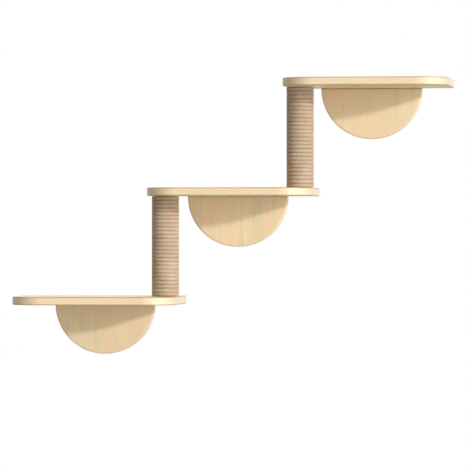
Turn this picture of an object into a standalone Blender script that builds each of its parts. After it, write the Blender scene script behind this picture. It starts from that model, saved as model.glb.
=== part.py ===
"""Wall-mounted climbing steps for a cat: three rounded shelves rise to the right, each on a half-round
wall plate, and two rope-wound scratching posts tie each shelf to the next one up.

Metres, +Z up. The wall is the plane y = 0 and the room is at negative y. The origin is on the back face of
the middle wall plate, halfway between the two wall screws that it hangs on.
"""

from math import acos, cos, floor, pi, sin, sqrt

import bmesh
import bpy
from mathutils import Matrix, Vector

# Shelf boards
STEP_NAMES = ("lower", "middle", "upper")
STEP_RISE = 0.240
SHELF_WIDTH = 0.364
SHELF_DEPTH = 0.240
SHELF_THICKNESS = 0.018
SHELF_CORNER_RADIUS = 0.070
EDGE_ROUND = 0.002

# Half-round wall plates
PLATE_RADIUS = 0.1125
PLATE_THICKNESS = 0.018

# Wall screws, which aren't part of the steps, and the keyholes that drop over them
WALL_SCREW_SHANK = 0.0045
WALL_SCREW_HEAD = 0.0090
SLOT_PLAY = 0.0005
ENTRY_PLAY = 0.0010
POCKET_PLAY = 0.0030
POCKET_DEPTH = 0.0085
KEYHOLE_DROP = 0.011
HANG_DEPTH = 0.036

# Keyhole hangers, let into the back of each plate
HANGER_INSET = 0.0625
HANGER_THICKNESS = 0.0015
HANGER_SINK = 0.0002
HANGER_SEAT = 0.002
HANGER_END = 0.0095
HANGER_CORNER_RADIUS = 0.004
HANGER_SCREW_DIAMETER = 0.003
HANGER_SCREW_HEAD = 0.0056
HANGER_SCREW_LENGTH = 0.012

# Bolts, cross nuts and dowels between shelf and plate
SHELF_BOLT_INSET = 0.0305
SHELF_BOLT_DIAMETER = 0.006
SHELF_BOLT_HEAD = 0.012
SHELF_BOLT_LENGTH = 0.050
SHELF_BOLT_KEY = 0.004
SHELF_BOLT_SOCKET = 0.0024
BOLT_PAST_NUT = 0.006
NUT_WALL = 0.002
NUT_LENGTH = 0.012
NUT_SLOT_WIDTH = 0.0014
NUT_SLOT_DEPTH = 0.0012
DOWEL_OFFSET = 0.020
DOWEL_DIAMETER = 0.008
DOWEL_LENGTH = 0.030
DOWEL_CHAMFER = 0.001
WOOD_OVER_DOWEL = 0.007

# Scratching posts
POST_INSET = 0.032
POST_FROM_WALL = 0.110
TUBE_DIAMETER = 0.042
TUBE_WALL = 0.004
POST_BOLT_DIAMETER = 0.008
POST_BOLT_HEAD = 0.016
POST_BOLT_LENGTH = 0.036
POST_BOLT_KEY = 0.005
POST_BOLT_SOCKET = 0.003
INSERT_WALL = 0.002
INSERT_LENGTH = 0.018
FLANGE_LIP = 0.0025
FLANGE_THICKNESS = 0.0012
PLUG_FLOOR = 0.012

# Rope wound on each post
ROPE_DIAMETER = 0.0083
TURN_SPACE = 0.0005

# The straight rim of a bolt's head, the clearance that pieces keep where they meet, and a cutter's reach
# past the face that it opens
HEAD_RIM = 0.0004
GAP = 0.0003
CUT_PAST = 0.002

# Facets
CORNER_STEPS = 9
EDGE_STEPS = 2
PLATE_STEPS = 30
TUBE_STEPS = 28
PLUG_STEPS = 16
BOLT_STEPS = 12
PIN_STEPS = 10
SMALL_STEPS = 8
HANGER_CORNER_STEPS = 2
ROPE_POINTS_PER_TURN = 14
GAP_SAMPLES_PER_POINT = 4

# Sizes that follow from the ones above
STEP_RUN = SHELF_WIDTH - 2 * POST_INSET
PLATE_TOP = HANG_DEPTH
PLATE_MIDDLE_Y = -PLATE_THICKNESS / 2
SHELF_BOTTOM = PLATE_TOP + GAP
SHELF_TOP = SHELF_BOTTOM + SHELF_THICKNESS
SHELF_BOLT_OFFSET = PLATE_RADIUS - SHELF_BOLT_INSET
BOLT_END = SHELF_TOP - SHELF_BOLT_LENGTH
NUT_DIAMETER = SHELF_BOLT_DIAMETER + 2 * NUT_WALL
NUT_Z = BOLT_END + BOLT_PAST_NUT
DOWEL_TOP = SHELF_TOP - WOOD_OVER_DOWEL
DOWEL_BOTTOM = DOWEL_TOP - DOWEL_LENGTH
SLOT_WIDTH = WALL_SCREW_SHANK + SLOT_PLAY
ENTRY_DIAMETER = WALL_SCREW_HEAD + ENTRY_PLAY
POCKET_WIDTH = WALL_SCREW_HEAD + POCKET_PLAY
HANGER_OFFSET = PLATE_RADIUS - HANGER_INSET
HANGER_WIDTH = POCKET_WIDTH + 2 * HANGER_SEAT
HANGER_HEIGHT = KEYHOLE_DROP + POCKET_WIDTH + 2 * HANGER_END
POST_HEIGHT = STEP_RISE - SHELF_THICKNESS
TUBE_RADIUS = TUBE_DIAMETER / 2
PLUG_RADIUS = TUBE_RADIUS - TUBE_WALL - GAP
INSERT_DIAMETER = POST_BOLT_DIAMETER + 2 * INSERT_WALL
FLANGE_DIAMETER = INSERT_DIAMETER + 2 * FLANGE_LIP
ROPE_RADIUS = ROPE_DIAMETER / 2
ROPE_PATH_RADIUS = (TUBE_RADIUS + GAP + ROPE_RADIUS) / cos(pi / ROPE_POINTS_PER_TURN)
ROPE_CLIMB = POST_HEIGHT - 2 * (GAP + ROPE_RADIUS)
END_RUN_TURNS = ROPE_DIAMETER / (2 * pi * ROPE_PATH_RADIUS)
ROPE_TURNS = floor(ROPE_CLIMB / (ROPE_DIAMETER + TURN_SPACE) - 2 * END_RUN_TURNS)
ROPE_PITCH = ROPE_CLIMB / (ROPE_TURNS + 2 * END_RUN_TURNS)

# The two ways that a piece is turned from upright. Turned to the wall, its own +Y runs down.
TO_WALL = Matrix.Rotation(-pi / 2, 4, "X")
UPSIDE_DOWN = Matrix.Rotation(pi, 4, "X")
SIDES = {"left": -1, "right": 1}


def at(x, y, z):
    return Matrix.Translation((x, y, z))


def both_sides(offset, y, z, turn=Matrix.Identity(4)):
    """The same place left and right of a step's middle."""
    return [at(side * offset, y, z) @ turn for side in SIDES.values()]


def closed_mesh(name, bm, sharp_angle=pi / 4):
    """The bmesh as a mesh with its faces pointing out, shaded smooth up to its sharp edges."""
    bmesh.ops.remove_doubles(bm, verts=bm.verts, dist=1e-7)
    bmesh.ops.recalc_face_normals(bm, faces=bm.faces)
    mesh = bpy.data.meshes.new(name)
    bm.to_mesh(mesh)
    bm.free()
    mesh.shade_smooth()
    mesh.set_sharp_from_angle(angle=sharp_angle)
    return mesh


def turned(name, profile, steps):
    """A profile of (radius, height) points spun about Z. A profile that stays off the axis makes a ring."""
    bm = bmesh.new()
    verts = [bm.verts.new((radius, 0, height)) for radius, height in profile]
    edges = [bm.edges.new(pair) for pair in zip(verts, verts[1:])]
    if profile[0][0] > 0:
        edges.append(bm.edges.new((verts[-1], verts[0])))
    bmesh.ops.spin(
        bm, geom=verts + edges, cent=(0, 0, 0), axis=(0, 0, 1), angle=2 * pi, steps=steps, use_merge=True
    )
    return closed_mesh(name, bm)


def prism(name, outline, low, high):
    """An outline of (x, y) points extruded from z = low to z = high."""
    bm = bmesh.new()
    bottom = bm.faces.new([bm.verts.new((x, y, low)) for x, y in outline])
    grown = bmesh.ops.extrude_face_region(bm, geom=[bottom], use_keep_orig=True)["geom"]
    top = [item for item in grown if isinstance(item, bmesh.types.BMVert)]
    bmesh.ops.translate(bm, vec=(0, 0, high - low), verts=top)
    return closed_mesh(name, bm)


def copies(mesh, places):
    """One mesh that holds a copy of the given one at each place."""
    bm = bmesh.new()
    for place in places:
        copy = mesh.copy()
        copy.transform(place)
        bm.from_mesh(copy)
        bpy.data.meshes.remove(copy)
    return closed_mesh(mesh.name, bm)


def round_edges(mesh, chosen):
    """Rounds the edges that a test on their two end points chooses."""
    bm = bmesh.new()
    bm.from_mesh(mesh)
    edges = [edge for edge in bm.edges if chosen(edge.verts[0].co, edge.verts[1].co)]
    bmesh.ops.bevel(
        bm, geom=edges, offset=EDGE_ROUND, segments=EDGE_STEPS, profile=0.5, affect="EDGES", material=-1
    )
    return closed_mesh(mesh.name, bm)


def add_piece(name, mesh, material, parent, place=Matrix.Identity(4)):
    """An object of its own at a place in its parent's frame. Like pieces may share their mesh."""
    piece = bpy.data.objects.new(name, mesh)
    piece.parent = parent
    piece.matrix_local = place
    if not mesh.materials:
        mesh.materials.append(material)
    bpy.context.scene.collection.objects.link(piece)
    return piece


def add_pair(step, name, mesh, material, parent, places):
    """A left and a right piece of the same shape."""
    names = [f"{step}_{side}_{name}" for side in SIDES]
    return [add_piece(name, mesh, material, parent, place) for name, place in zip(names, places)]


def cut(piece, mesh):
    """Cuts a mesh, drawn in the piece's own frame, out of the piece."""
    cutter = bpy.data.objects.new(f"{piece.name}_{mesh.name}", mesh)
    cutter.parent = piece
    cutter.hide_render = True
    cutter.display_type = "WIRE"
    bpy.context.scene.collection.objects.link(cutter)
    boolean = piece.modifiers.new(mesh.name, "BOOLEAN")
    boolean.object = cutter
    boolean.operation = "DIFFERENCE"
    boolean.solver = "EXACT"


def arc(centre_x, centre_y, radius, start, end, steps):
    """Points of an arc, both ends included, from one angle to another in radians."""
    angles = [start + (end - start) * step / steps for step in range(steps + 1)]
    return [(centre_x + radius * cos(angle), centre_y + radius * sin(angle)) for angle in angles]


def rounded_rectangle(width, height, radius):
    """A rectangle with round corners, centred on the origin."""
    across = width / 2 - radius
    up = height / 2 - radius
    outline = []
    for corner, (x, y) in enumerate(((across, up), (-across, up), (-across, -up), (across, -up))):
        start = corner * pi / 2
        outline += arc(x, y, radius, start, start + pi / 2, HANGER_CORNER_STEPS)
    return outline


def straight_hole(name, diameter, depth, steps):
    """A cutter for a hole down from z = 0, wide enough for a pin of this diameter."""
    radius = diameter / 2 + GAP
    return turned(name, [(0, -depth), (radius, -depth), (radius, CUT_PAST), (0, CUT_PAST)], steps)


def countersunk_hole(name, shank, head, depth, steps):
    """A cutter for a hole down from z = 0, wide enough for a countersunk bolt or screw of this size."""
    hole = shank / 2 + GAP
    mouth = head / 2 + GAP
    bore = [(0, -depth), (hole, -depth), (hole, hole - mouth - HEAD_RIM)]
    countersink = [(mouth, -HEAD_RIM), (mouth, CUT_PAST), (0, CUT_PAST)]
    return turned(name, bore + countersink, steps)


def countersunk_bolt(shank, head, length):
    """A bolt that points down, the face of its countersunk head at z = 0."""
    radius = shank / 2
    rim = head / 2
    tip = radius / 4
    end = [(0, -length), (radius - tip, -length), (radius, tip - length)]
    cone = [(radius, radius - rim - HEAD_RIM), (rim, -HEAD_RIM), (rim, 0), (0, 0)]
    return turned("bolt", end + cone, BOLT_STEPS)


def hexagon_socket(key, depth):
    """A cutter for the socket in a bolt's head, for a key of this size across its flats."""
    return prism("socket", arc(0, 0, key / sqrt(3), 0, 5 * pi / 3, 5), -depth, CUT_PAST)


def add_shelf(step, materials, parent, post_below, post_above):
    """A board with its two front corners rounded in plan and its back edge straight along the wall."""
    half = SHELF_WIDTH / 2
    radius = SHELF_CORNER_RADIUS
    outline = [(half, -GAP), (-half, -GAP)]
    outline += arc(radius - half, radius - SHELF_DEPTH, radius, pi, 3 * pi / 2, CORNER_STEPS)
    outline += arc(half - radius, radius - SHELF_DEPTH, radius, 3 * pi / 2, 2 * pi, CORNER_STEPS)
    board = prism("board", outline, SHELF_BOTTOM, SHELF_TOP)
    board = round_edges(board, lambda one, other: abs(one.z - other.z) < GAP)
    shelf = add_piece(f"{step}_shelf", board, materials["pine"], parent)

    through = SHELF_THICKNESS + CUT_PAST
    bolt_hole = countersunk_hole("bolt_holes", SHELF_BOLT_DIAMETER, SHELF_BOLT_HEAD, through, BOLT_STEPS)
    cut(shelf, copies(bolt_hole, both_sides(SHELF_BOLT_OFFSET, PLATE_MIDDLE_Y, SHELF_TOP)))
    dowel_hole = straight_hole("dowel_holes", DOWEL_DIAMETER, DOWEL_TOP - SHELF_BOTTOM + GAP, PIN_STEPS)
    cut(shelf, copies(dowel_hole, both_sides(DOWEL_OFFSET, PLATE_MIDDLE_Y, SHELF_BOTTOM, UPSIDE_DOWN)))

    post_bolts = []
    if post_above:
        post_bolts.append(at(STEP_RUN / 2, -POST_FROM_WALL, SHELF_BOTTOM) @ UPSIDE_DOWN)
    if post_below:
        post_bolts.append(at(-STEP_RUN / 2, -POST_FROM_WALL, SHELF_TOP))
    post_hole = countersunk_hole("post_holes", POST_BOLT_DIAMETER, POST_BOLT_HEAD, through, BOLT_STEPS)
    cut(shelf, copies(post_hole, post_bolts))


def hanging_places():
    """The hangers of a step, each with its frame's origin where the wall screw bears."""
    return both_sides(HANGER_OFFSET, 0, 0, TO_WALL)


def hanger_screw_places():
    """The upper and the lower screw of a hanger, in the hanger's frame."""
    reach = HANGER_HEIGHT / 2 - HANGER_END / 2
    return [at(0, KEYHOLE_DROP / 2 + side * reach, -HANGER_SINK) for side in (-1, 1)]


def hanger_screw_holes():
    depth = HANGER_SCREW_LENGTH + GAP
    hole = countersunk_hole("screw_holes", HANGER_SCREW_DIAMETER, HANGER_SCREW_HEAD, depth, SMALL_STEPS)
    return copies(hole, hanger_screw_places())


def hanger_blank(name, play, low, high):
    """The outline of a hanger, or with some play that of its seat, extruded from z = low to z = high."""
    width = HANGER_WIDTH + 2 * play
    height = HANGER_HEIGHT + 2 * play
    blank = prism(name, rounded_rectangle(width, height, HANGER_CORNER_RADIUS + play), low, high)
    blank.transform(at(0, KEYHOLE_DROP / 2, 0))
    return blank


def add_wall_plate(step, materials, parent):
    """A half disc flat against the wall, its straight edge up, with everything that is let into it."""
    half_disc = prism("half_disc", arc(0, 0, PLATE_RADIUS, pi, 2 * pi, PLATE_STEPS), 0, PLATE_THICKNESS)
    half_disc.transform(at(0, 0, PLATE_TOP) @ Matrix.Rotation(pi / 2, 4, "X"))
    front = GAP - PLATE_THICKNESS
    top = PLATE_TOP - GAP

    def on_front_arc(one, other):
        return max(one.y, other.y) < front and min(one.z, other.z) < top

    half_disc = round_edges(half_disc, on_front_arc)
    plate = add_piece(f"{step}_wall_plate", half_disc, materials["pine"], parent)

    bolt_bore = straight_hole("bolt_bores", SHELF_BOLT_DIAMETER, PLATE_TOP - BOLT_END + GAP, PIN_STEPS)
    cut(plate, copies(bolt_bore, both_sides(SHELF_BOLT_OFFSET, PLATE_MIDDLE_Y, PLATE_TOP)))
    dowel_bore = straight_hole("dowel_bores", DOWEL_DIAMETER, PLATE_TOP - DOWEL_BOTTOM + GAP, PIN_STEPS)
    cut(plate, copies(dowel_bore, both_sides(DOWEL_OFFSET, PLATE_MIDDLE_Y, PLATE_TOP)))
    nut_bore = straight_hole("nut_bores", NUT_DIAMETER, (PLATE_THICKNESS + NUT_LENGTH) / 2 + GAP, BOLT_STEPS)
    cut(plate, copies(nut_bore, both_sides(SHELF_BOLT_OFFSET, 0, NUT_Z, TO_WALL)))

    seat = hanger_blank("hanger_seats", GAP, -HANGER_SINK - HANGER_THICKNESS - GAP, CUT_PAST)
    cut(plate, copies(seat, hanging_places()))
    half = POCKET_WIDTH / 2
    low = KEYHOLE_DROP + half
    pocket = prism(
        "head_pockets", [(-half, -half), (half, -half), (half, low), (-half, low)], -POCKET_DEPTH, -HANGER_SINK
    )
    cut(plate, copies(pocket, hanging_places()))
    cut(plate, copies(hanger_screw_holes(), hanging_places()))


def keyhole_outline():
    """A round entry for the wall screw's head, and above it a slot with a round end for the shank."""
    slot = SLOT_WIDTH / 2
    entry = ENTRY_DIAMETER / 2
    shoulder = acos(slot / entry)
    outline = arc(0, 0, slot, pi, 2 * pi, SMALL_STEPS // 2)
    outline += arc(0, KEYHOLE_DROP, entry, -shoulder, pi + shoulder, PIN_STEPS)
    return outline


def add_hangers(step, materials, parent):
    """Stamped steel plates with a keyhole each, and the countersunk screws through their ends."""
    blank = hanger_blank("hanger", 0, -HANGER_THICKNESS - HANGER_SINK, -HANGER_SINK)
    keyhole = prism("keyhole", keyhole_outline(), -POCKET_DEPTH, CUT_PAST)
    holes = hanger_screw_holes()
    shank = HANGER_SCREW_DIAMETER / 2
    rim = HANGER_SCREW_HEAD / 2
    point = [(0, -HANGER_SCREW_LENGTH), (shank, 2 * shank - HANGER_SCREW_LENGTH)]
    cone = [(shank, shank - rim - HEAD_RIM), (rim, -HEAD_RIM), (rim, 0), (0, 0)]
    screw = turned("hanger_screw", point + cone, SMALL_STEPS)
    for hanger in add_pair(step, "keyhole_hanger", blank, materials["steel"], parent, hanging_places()):
        cut(hanger, keyhole)
        cut(hanger, holes)
        for end, place in zip(("upper", "lower"), hanger_screw_places()):
            add_piece(f"{hanger.name}_{end}_screw", screw, materials["steel"], hanger, place)


def add_shelf_fixings(step, materials, parent):
    """Bolts down through the shelf into cross nuts in the plate, and dowels that line the two up."""
    bolt = countersunk_bolt(SHELF_BOLT_DIAMETER, SHELF_BOLT_HEAD, SHELF_BOLT_LENGTH)
    bolt_places = both_sides(SHELF_BOLT_OFFSET, PLATE_MIDDLE_Y, SHELF_TOP)
    for piece in add_pair(step, "shelf_bolt", bolt, materials["steel"], parent, bolt_places):
        cut(piece, hexagon_socket(SHELF_BOLT_KEY, SHELF_BOLT_SOCKET))

    radius = NUT_DIAMETER / 2
    half = NUT_LENGTH / 2
    side = NUT_SLOT_WIDTH / 2
    end = radius + CUT_PAST
    barrel = turned("cross_nut", [(0, -half), (radius, -half), (radius, half), (0, half)], BOLT_STEPS)
    cross_hole = straight_hole("cross_hole", SHELF_BOLT_DIAMETER, NUT_DIAMETER + CUT_PAST, PIN_STEPS)
    cross_hole.transform(at(0, -radius, 0) @ TO_WALL.inverted())
    across = [(-end, -side), (end, -side), (end, side), (-end, side)]
    slot = prism("slot", across, half - NUT_SLOT_DEPTH, half + CUT_PAST)
    nut_places = both_sides(SHELF_BOLT_OFFSET, PLATE_MIDDLE_Y, NUT_Z, TO_WALL)
    for piece in add_pair(step, "cross_nut", barrel, materials["steel"], parent, nut_places):
        cut(piece, cross_hole)
        cut(piece, slot)

    radius = DOWEL_DIAMETER / 2
    blunt = radius - DOWEL_CHAMFER
    lower = [(0, DOWEL_BOTTOM), (blunt, DOWEL_BOTTOM), (radius, DOWEL_BOTTOM + DOWEL_CHAMFER)]
    upper = [(radius, DOWEL_TOP - DOWEL_CHAMFER), (blunt, DOWEL_TOP), (0, DOWEL_TOP)]
    dowel = turned("dowel", lower + upper, PIN_STEPS)
    add_pair(step, "dowel", dowel, materials["beech"], parent, both_sides(DOWEL_OFFSET, PLATE_MIDDLE_Y, 0))


def rope_path():
    """The rope's centreline on a post that stands at z = 0: a helix that runs straight on at its two ends."""
    foot = GAP + ROPE_RADIUS + ROPE_PITCH * END_RUN_TURNS
    points = []
    for index in range(ROPE_TURNS * ROPE_POINTS_PER_TURN + 1):
        turns = index / ROPE_POINTS_PER_TURN
        angle = pi / 2 + 2 * pi * turns
        across = ROPE_PATH_RADIUS * cos(angle)
        points.append(Vector((across, ROPE_PATH_RADIUS * sin(angle), foot + ROPE_PITCH * turns)))
    end_run = Vector((ROPE_DIAMETER, 0, -ROPE_PITCH * END_RUN_TURNS))
    return [points[0] + end_run] + points + [points[-1] - end_run]


def least_gap(path):
    """The least space between a turn of the rope and the next one, measured along its centreline."""
    samples = []
    for one, other in zip(path, path[1:]):
        samples += [one.lerp(other, step / GAP_SAMPLES_PER_POINT) for step in range(GAP_SAMPLES_PER_POINT)]
    turn = ROPE_POINTS_PER_TURN * GAP_SAMPLES_PER_POINT
    reach = 2 * GAP_SAMPLES_PER_POINT
    distances = [
        (samples[index] - samples[other]).length
        for index in range(len(samples))
        for other in range(index + turn - reach, index + turn + reach + 1)
        if other < len(samples)
    ]
    return min(distances) - ROPE_DIAMETER


def add_rope(post, materials, parent):
    """Sisal rope wound tightly up the tube, as one unbroken length."""
    path = rope_path()
    curve = bpy.data.curves.new("rope", "CURVE")
    curve.dimensions = "3D"
    curve.bevel_depth = ROPE_RADIUS
    curve.bevel_resolution = 1
    curve.use_fill_caps = True
    spline = curve.splines.new("POLY")
    spline.points.add(len(path) - 1)
    for point, place in zip(spline.points, path):
        point.co = (*place, 1)
    add_piece(f"{post}_rope", curve, materials["sisal"], parent)
    print(f"{post}_rope: {ROPE_TURNS} turns, least gap between turns {least_gap(path) * 1000:.2f} mm")


def add_tube(post, materials, parent):
    """The paper tube that carries the rope."""
    inner = TUBE_RADIUS - TUBE_WALL
    low = GAP
    high = POST_HEIGHT - GAP
    profile = [(inner, low), (TUBE_RADIUS, low), (TUBE_RADIUS, high), (inner, high)]
    add_piece(f"{post}_tube", turned("tube", profile, TUBE_STEPS), materials["paper"], parent)


def add_post_end(name, end, bolt_head, materials, parent):
    """A plug in the tube's end, a flanged insert in the plug, and the bolt through the shelf into both."""
    bore = POST_BOLT_DIAMETER / 2 + GAP
    insert_radius = INSERT_DIAMETER / 2
    flange_radius = FLANGE_DIAMETER / 2
    insert_end = -FLANGE_THICKNESS - INSERT_LENGTH
    insert_profile = [
        (bore, insert_end),
        (insert_radius, insert_end),
        (insert_radius, -FLANGE_THICKNESS),
        (flange_radius, -FLANGE_THICKNESS),
        (flange_radius, 0),
        (bore, 0),
    ]
    seat_floor = insert_end - GAP
    plug_end = seat_floor - PLUG_FLOOR
    plug_profile = [
        (bore, plug_end),
        (PLUG_RADIUS, plug_end),
        (PLUG_RADIUS, 0),
        (flange_radius + GAP, 0),
        (flange_radius + GAP, -FLANGE_THICKNESS - GAP),
        (insert_radius + GAP, -FLANGE_THICKNESS - GAP),
        (insert_radius + GAP, seat_floor),
        (bore, seat_floor),
    ]
    plug = turned("plug", plug_profile, PLUG_STEPS)
    add_piece(f"{name}_plug", plug, materials["beech"], parent, end)
    insert = turned("insert", insert_profile, BOLT_STEPS)
    add_piece(f"{name}_insert", insert, materials["steel"], parent, end)
    bolt = countersunk_bolt(POST_BOLT_DIAMETER, POST_BOLT_HEAD, POST_BOLT_LENGTH)
    piece = add_piece(f"{name}_bolt", bolt, materials["steel"], parent, bolt_head)
    cut(piece, hexagon_socket(POST_BOLT_KEY, POST_BOLT_SOCKET))


def add_group(name, x, y, z):
    """An empty that carries the pieces of one step or post."""
    group = bpy.data.objects.new(name, None)
    group.location = (x, y, z)
    bpy.context.scene.collection.objects.link(group)
    return group


def add_step(index, materials):
    step = STEP_NAMES[index]
    group = add_group(f"{step}_step", (index - 1) * STEP_RUN, 0, (index - 1) * STEP_RISE)
    add_shelf(step, materials, group, post_below=index > 0, post_above=index < len(STEP_NAMES) - 1)
    add_wall_plate(step, materials, group)
    add_hangers(step, materials, group)
    add_shelf_fixings(step, materials, group)


def add_post(index, materials):
    """The post that stands on one shelf's right end and carries the left end of the next shelf up."""
    post = f"{STEP_NAMES[index]}_post"
    foot = (index - 1) * STEP_RISE + SHELF_TOP
    group = add_group(f"{post}_pieces", (index - 0.5) * STEP_RUN, -POST_FROM_WALL, foot)
    add_tube(post, materials, group)
    add_rope(post, materials, group)
    bottom = at(0, 0, GAP) @ UPSIDE_DOWN
    bottom_bolt = at(0, 0, -SHELF_THICKNESS) @ UPSIDE_DOWN
    add_post_end(f"{post}_bottom", bottom, bottom_bolt, materials, group)
    top = at(0, 0, POST_HEIGHT - GAP)
    top_bolt = at(0, 0, POST_HEIGHT + SHELF_THICKNESS)
    add_post_end(f"{post}_top", top, top_bolt, materials, group)


def add_material(name, colour, roughness, metallic):
    material = bpy.data.materials.new(name)
    material.use_nodes = True
    shader = material.node_tree.nodes["Principled BSDF"]
    shader.inputs["Base Color"].default_value = (*colour, 1)
    shader.inputs["Roughness"].default_value = roughness
    shader.inputs["Metallic"].default_value = metallic
    return material


def main():
    for item in list(bpy.data.objects):
        bpy.data.objects.remove(item)
    materials = {
        "pine": add_material("lacquered_pine", (0.85, 0.68, 0.43), 0.45, 0),
        "beech": add_material("beech", (0.70, 0.50, 0.31), 0.6, 0),
        "sisal": add_material("sisal_rope", (0.62, 0.46, 0.30), 0.9, 0),
        "paper": add_material("kraft_paper_tube", (0.45, 0.33, 0.22), 0.85, 0),
        "steel": add_material("zinc_plated_steel", (0.66, 0.67, 0.68), 0.35, 1),
    }
    for index in range(len(STEP_NAMES)):
        add_step(index, materials)
    for index in range(len(STEP_NAMES) - 1):
        add_post(index, materials)


main()
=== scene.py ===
from math import cos, pi, radians, sin, sqrt

import bmesh
import bpy
from mathutils import Matrix, Vector


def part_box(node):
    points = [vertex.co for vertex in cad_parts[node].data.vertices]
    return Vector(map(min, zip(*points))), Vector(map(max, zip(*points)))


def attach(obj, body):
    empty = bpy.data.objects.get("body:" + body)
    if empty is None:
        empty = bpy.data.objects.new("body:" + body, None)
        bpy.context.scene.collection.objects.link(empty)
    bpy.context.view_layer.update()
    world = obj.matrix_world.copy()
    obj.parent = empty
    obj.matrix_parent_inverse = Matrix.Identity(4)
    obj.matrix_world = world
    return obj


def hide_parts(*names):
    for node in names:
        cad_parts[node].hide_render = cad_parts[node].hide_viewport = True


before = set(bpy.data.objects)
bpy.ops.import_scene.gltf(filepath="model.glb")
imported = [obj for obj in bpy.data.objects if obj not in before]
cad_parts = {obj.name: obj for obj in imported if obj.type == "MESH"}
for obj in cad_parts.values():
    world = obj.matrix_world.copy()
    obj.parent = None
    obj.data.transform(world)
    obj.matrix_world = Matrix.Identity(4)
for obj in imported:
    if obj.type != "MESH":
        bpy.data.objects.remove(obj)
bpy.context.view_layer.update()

steps = ("lower", "middle", "upper")
posts = ("lower", "middle")
sides = ("left", "right")
toWall = Matrix.Rotation(-pi / 2, 4, "X")  # turns +Z to the wall and +Y down
upsideDown = Matrix.Rotation(pi, 4, "X")
alongWall = (0, 0, 0)  # grain along X
upAndDown = Matrix(((0, 0, 1), (1, 0, 0), (0, 1, 0))).to_euler()  # grain along Z

clearance = 0.0003  # between pieces that meet
past = 0.002  # how far a cutter reaches past the face that it opens
headRim = 0.0004  # straight edge round a countersunk head
boreFacets = 48
countersinkFacets = 40  # with 48, one bore in the lower wall plate's mesh lacks a face
sharpAngle = radians(32)  # steeper edges stay sharp
ringWave, diagonalWave = 0.314, 0.363  # metres from line to line in wave textures of scale 1


def linear(hexColour):
    channels = [int(hexColour[index:index + 2], 16) / 255 for index in (1, 3, 5)]
    return [c / 12.92 if c <= 0.04045 else ((c + 0.055) / 1.055) ** 2.4 for c in channels] + [1]


def addNode(tree, kind, inputs=(), **settings):
    node = tree.nodes.new("ShaderNode" + kind)
    for name, value in settings.items():
        setattr(node, name, value)
    for name, value in dict(inputs).items():
        if isinstance(value, bpy.types.NodeSocket):
            tree.links.new(value, node.inputs[name])
        else:
            node.inputs[name].default_value = value
    return node


def newMaterial(name):
    material = bpy.data.materials.new(name)
    material.use_nodes = True
    tree = material.node_tree
    tree.nodes.clear()
    return material, tree


pine = {
    "early": "#f0dbb3", "late": "#dcc08e", "blush": "#f3d1ac",  # spring wood, ring line, rosy streak
    # the arris colour stands partly for wear and partly for painted shade
    "endGrain": "#d1ceb0", "arris": "#b89462",
    "lateAmount": 0.20, "blushAmount": 0.7, "endGrainAmount": 0.6,
    "staveWidth": 0.056, "staveShift": (1.7, 0.11, 0.09), "staveContrast": 0.04,
    "ringSpacing": 0.0075, "pith": (0, -0.05, 0.065),  # the pith lies beside the board
    "streakWidth": 0.014,
    "fibreWidth": 0.0014,  # really about 0.3 mm, drawn coarser so that it shows from across the room
    "bendLength": 0.11, "bendWidth": 0.022,
    "roughness": 0.44,
}


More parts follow.
